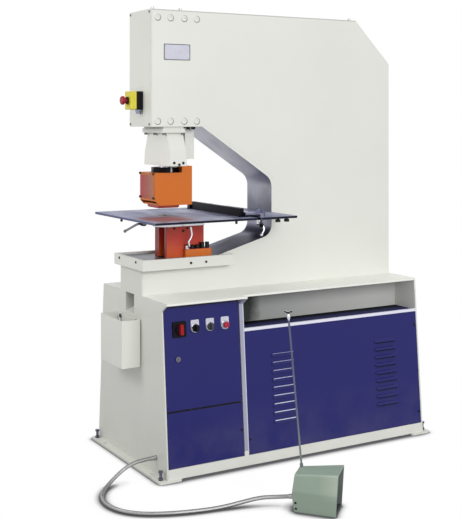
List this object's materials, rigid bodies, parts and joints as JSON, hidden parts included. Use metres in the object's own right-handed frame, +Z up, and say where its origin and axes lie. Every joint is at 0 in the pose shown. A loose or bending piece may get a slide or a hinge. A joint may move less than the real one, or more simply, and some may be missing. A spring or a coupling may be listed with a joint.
{
  "type": "punch press",
  "caption": "Floor-standing hydraulic C-frame punch press with a deep throat, work table, stripper and fence, on a cabinet base with a hooded foot pedal on a conduit.",
  "frame": {"origin": "on the floor, at the centre of the four anchor holes in the foot plates", "axes": "+X from the punch end to the back, -Y towards the operator's long side with the doors, +Z up"},
  "size_m": [1.7833, 1.4283, 2.06],
  "materials": {
    "cream": "satin",
    "recess_grey": "satin",
    "blue": "satin",
    "throat_steel": "brushed",
    "bed_steel": "machined",
    "bright_steel": "ground",
    "black_steel": "black oxide",
    "zinc": "zinc plated",
    "chrome": "polished",
    "orange": "semi-gloss",
    "red_orange": "semi-gloss",
    "amber": "clear amber",
    "seal": "matt",
    "block": "machined",
    "machine_grey": "satin",
    "black_plastic": "matt",
    "grey_plastic": "matt",
    "red_plastic": "gloss",
    "yellow_plastic": "gloss",
    "pedal_green": "hammered",
    "pedal_black": "painted",
    "conduit": "ribbed"
  },
  "bodies": {
    "machine": {"frame_plate_front": "cream", "frame_plate_rear": "cream", "frame_spine_plate": "cream", "head_end_cover": "cream", "ram_housing": "cream", "stripper_bracket": "cream", "painted_bolts": "cream", "bed_rim": "cream", "left_end_plate": "cream", "right_end_plate": "cream", "base_top_plates": "cream", "front_rail": "cream", "foot_plates": "cream", "recess_shelf": "recess_grey", "louvre_panel": "blue", "lower_panel": "blue", "rear_panel": "blue", "throat_plate": "throat_steel", "work_table": "throat_steel", "bed_plate": "bed_steel", "die_bolster": "bright_steel", "die": "bright_steel", "machine_screws": "black_steel", "levelling_bolts": "zinc", "cable_glands": "zinc", "carry_rod": "chrome", "die_holder": "red_orange", "cylinder_block": "block", "pump": "block", "motor": "machine_grey", "oil_tank": "machine_grey", "switchgear": "machine_grey", "estop_box": "black_plastic", "estop_cover": "yellow_plastic", "pedal_hood": "pedal_green", "pedal_base": "pedal_black", "pedal_cable": "conduit"},
    "ram": {"ram": "bright_steel", "piston_seals": "seal", "coupling_nut": "black_steel", "punch": "bright_steel"},
    "stripper": {"stripper_guard": "orange", "stripper_foot": "red_orange", "guard_window": "amber", "stripper_fixings": "bright_steel"},
    "fence": {"fence_bar": "black_steel", "fence_carriages": "throat_steel"},
    "fence_clamp": {"fence_lever": "chrome"},
    "table_clamp": {"table_lever": "black_steel"},
    "holder_clamp": {"holder_lever": "chrome"},
    "door": {"electrical_door": "blue", "control_plates": "black_plastic"},
    "main_switch": {"main_switch_handle": "red_plastic"},
    "left_selector": {"selector_black": "black_plastic"},
    "right_selector": {"selector_grey": "grey_plastic"},
    "stop_push": {"stop_button": "red_plastic"},
    "lock": {"door_lock": "chrome"},
    "emergency_stop": {"estop_button": "red_plastic"},
    "bin": {"slug_bin": "cream"},
    "treadle": {"pedal_treadle": "pedal_black"}
  },
  "joints": [
    {"name": "ram_stroke", "type": "slide", "parent": "machine", "child": "ram", "axis": [0, 0, -1], "range_m": [0, 0.08]},
    {"name": "stripper_height", "type": "slide", "parent": "machine", "child": "stripper", "axis": [0, 0, 1], "range_m": [-0.025, 0.02]},
    {"name": "fence_setting", "type": "slide", "parent": "machine", "child": "fence", "axis": [1, 0, 0], "range_m": [-0.13, 0.03]},
    {"name": "fence_clamp_turn", "type": "hinge", "parent": "fence", "child": "fence_clamp", "pos_m": [-0.175, -0.251, 1.09], "axis": [0, 0, 1], "range_deg": [-60, 60]},
    {"name": "table_clamp_turn", "type": "hinge", "parent": "machine", "child": "table_clamp", "pos_m": [-0.71, -0.15, 1.09], "axis": [0, 0, 1], "range_deg": [-60, 25]},
    {"name": "holder_clamp_turn", "type": "hinge", "parent": "machine", "child": "holder_clamp", "pos_m": [-0.454, -0.076, 0.96], "axis": [0, 0, 1], "range_deg": [-40, 40]},
    {"name": "door_swing", "type": "hinge", "parent": "machine", "child": "door", "pos_m": [-0.3285, -0.32147, 0.5162], "axis": [0, 0.0797, 0.9968], "range_deg": [0, 90]},
    {"name": "main_switch_turn", "type": "hinge", "parent": "door", "child": "main_switch", "pos_m": [-0.623, -0.31961, 0.63984], "axis": [0, 0.9968, -0.0797], "range_deg": [0, 90]},
    {"name": "left_selector_turn", "type": "hinge", "parent": "door", "child": "left_selector", "pos_m": [-0.545, -0.31969, 0.63884], "axis": [0, 0.9968, -0.0797], "range_deg": [-45, 45]},
    {"name": "right_selector_turn", "type": "hinge", "parent": "door", "child": "right_selector", "pos_m": [-0.47, -0.31969, 0.63884], "axis": [0, 0.9968, -0.0797], "range_deg": [-45, 45]},
    {"name": "stop_push_travel", "type": "slide", "parent": "door", "child": "stop_push", "axis": [0, 0.9968, -0.0797], "range_m": [0, 0.004], "stiffness_N_per_m": 600, "springref_m": -0.003},
    {"name": "lock_turn", "type": "hinge", "parent": "door", "child": "lock", "pos_m": [-0.634, -0.32977, 0.51284], "axis": [0, 0.9968, -0.0797], "range_deg": [0, 90]},
    {"name": "emergency_stop_travel", "type": "slide", "parent": "machine", "child": "emergency_stop", "axis": [1, 0, 0], "range_m": [0, 0.006], "stiffness_N_per_m": 1200, "springref_m": -0.004},
    {"name": "bin_lift", "type": "slide", "parent": "machine", "child": "bin", "axis": [0, 0, 1], "range_m": [0, 0.026]},
    {"name": "treadle_press", "type": "hinge", "parent": "machine", "child": "treadle", "pos_m": [-0.35726, -0.89563, 0.028], "axis": [0.7193, 0.6947, 0], "range_deg": [0, 7], "stiffness_Nm_per_rad": 10, "springref_deg": -8.59}
  ]
}
